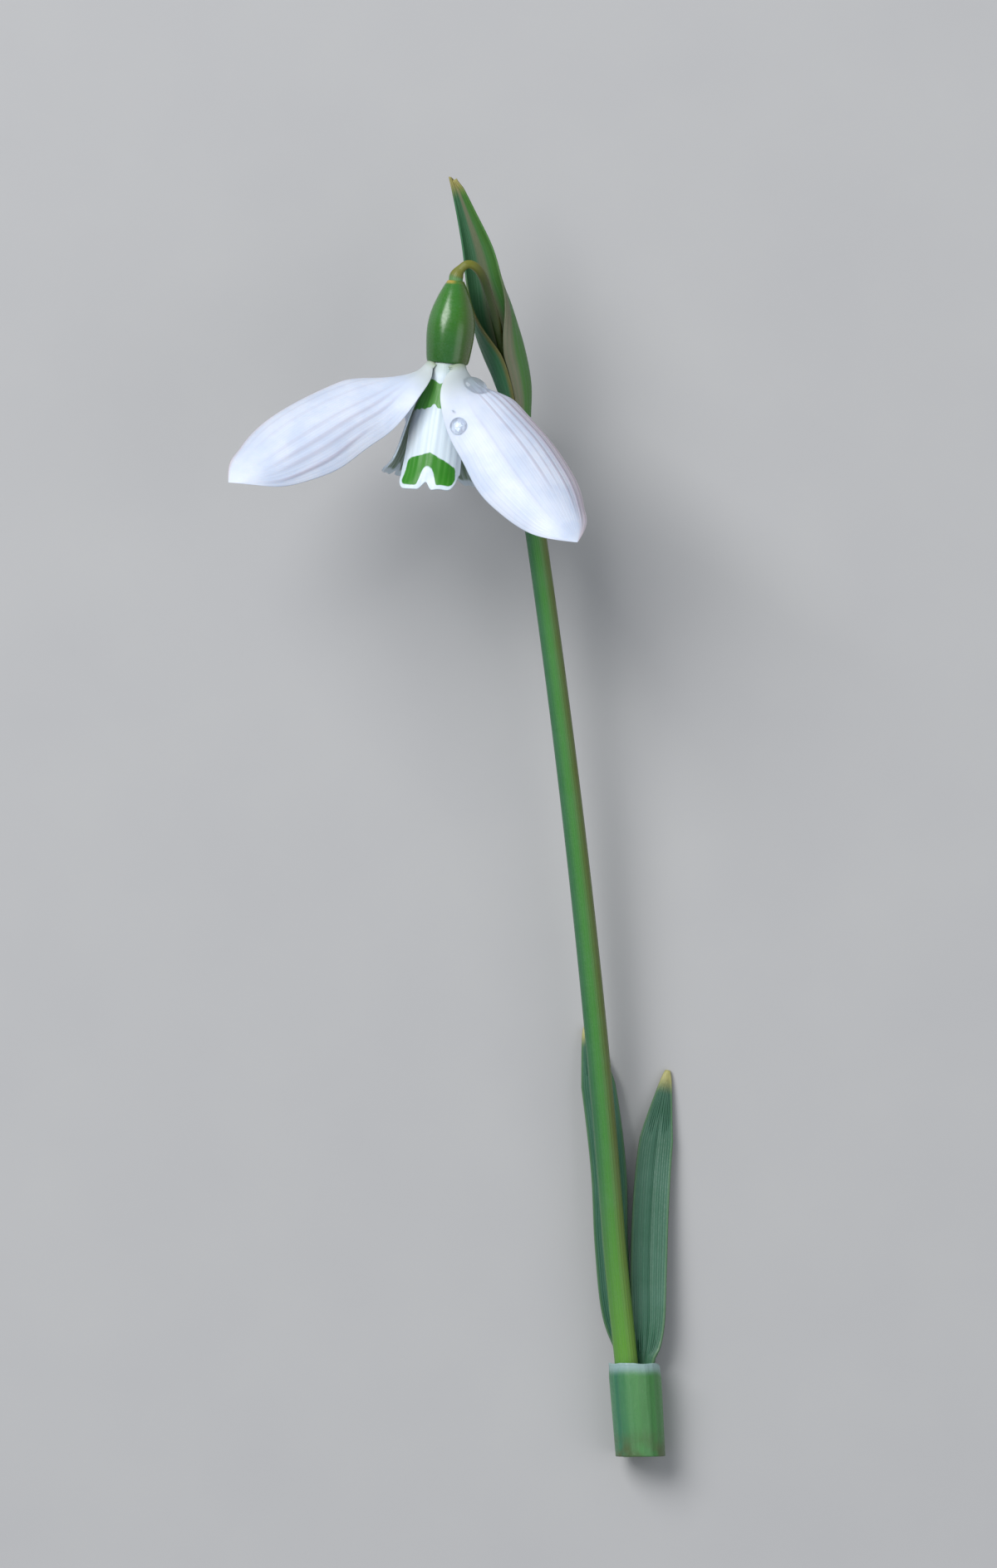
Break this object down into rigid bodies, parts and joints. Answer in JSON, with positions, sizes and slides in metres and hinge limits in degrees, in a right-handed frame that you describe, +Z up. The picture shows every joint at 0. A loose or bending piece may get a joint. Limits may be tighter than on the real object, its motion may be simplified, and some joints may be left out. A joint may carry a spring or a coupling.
{
  "type": "snowdrop flower",
  "caption": "Picked snowdrop lying on its back: a nodding white flower under a pointed green spathe, on a long stem with strap leaves held in a pale sheath.",
  "frame": {"origin": "Middle of the whole flower's box, on the surface that it lies on.", "axes": "+Y from the cut end to the tip of the spathe, +X towards the right leaf and the right outer petal, +Z up from the surface, towards the front of the flower."},
  "size_m": [0.0491, 0.1392, 0.0314],
  "materials": {
    "petal_white": "satin white petal with a cool lilac tint and fine lengthwise ridges",
    "inner_petal": "satin white petal with green marks at the foot and round the notch",
    "ovary_green": "smooth mid green, waxy shine",
    "stem_green": "green, bluer on one side and more olive on the other, faint bloom",
    "stalk_green": "olive green, paler where it meets the ovary",
    "spathe_green": "two green keels with a papery greyish strip between them",
    "leaf_green": "blue-green with a waxy bloom and a creamy tip",
    "sheath_pale": "green, finely striped and partly translucent, with a paler rim",
    "anther_orange": "orange-yellow, matt",
    "style_cream": "greenish white, matt"
  },
  "bodies": {
    "root": {"flower_stem": "stem_green", "sheath": "sheath_pale", "leaf_rear": "leaf_green", "leaf_right": "leaf_green", "spathe": "spathe_green", "flower_stalk": "stalk_green", "ovary": "ovary_green", "outer_petal_left": "petal_white", "outer_petal_right": "petal_white", "outer_petal_rear": "petal_white", "inner_petal_front": "inner_petal", "inner_petal_left": "inner_petal", "inner_petal_right": "inner_petal", "stamen_1": "anther_orange", "stamen_2": "anther_orange", "stamen_3": "anther_orange", "stamen_4": "anther_orange", "stamen_5": "anther_orange", "stamen_6": "anther_orange", "style": "style_cream"}
  },
  "joints": []
}
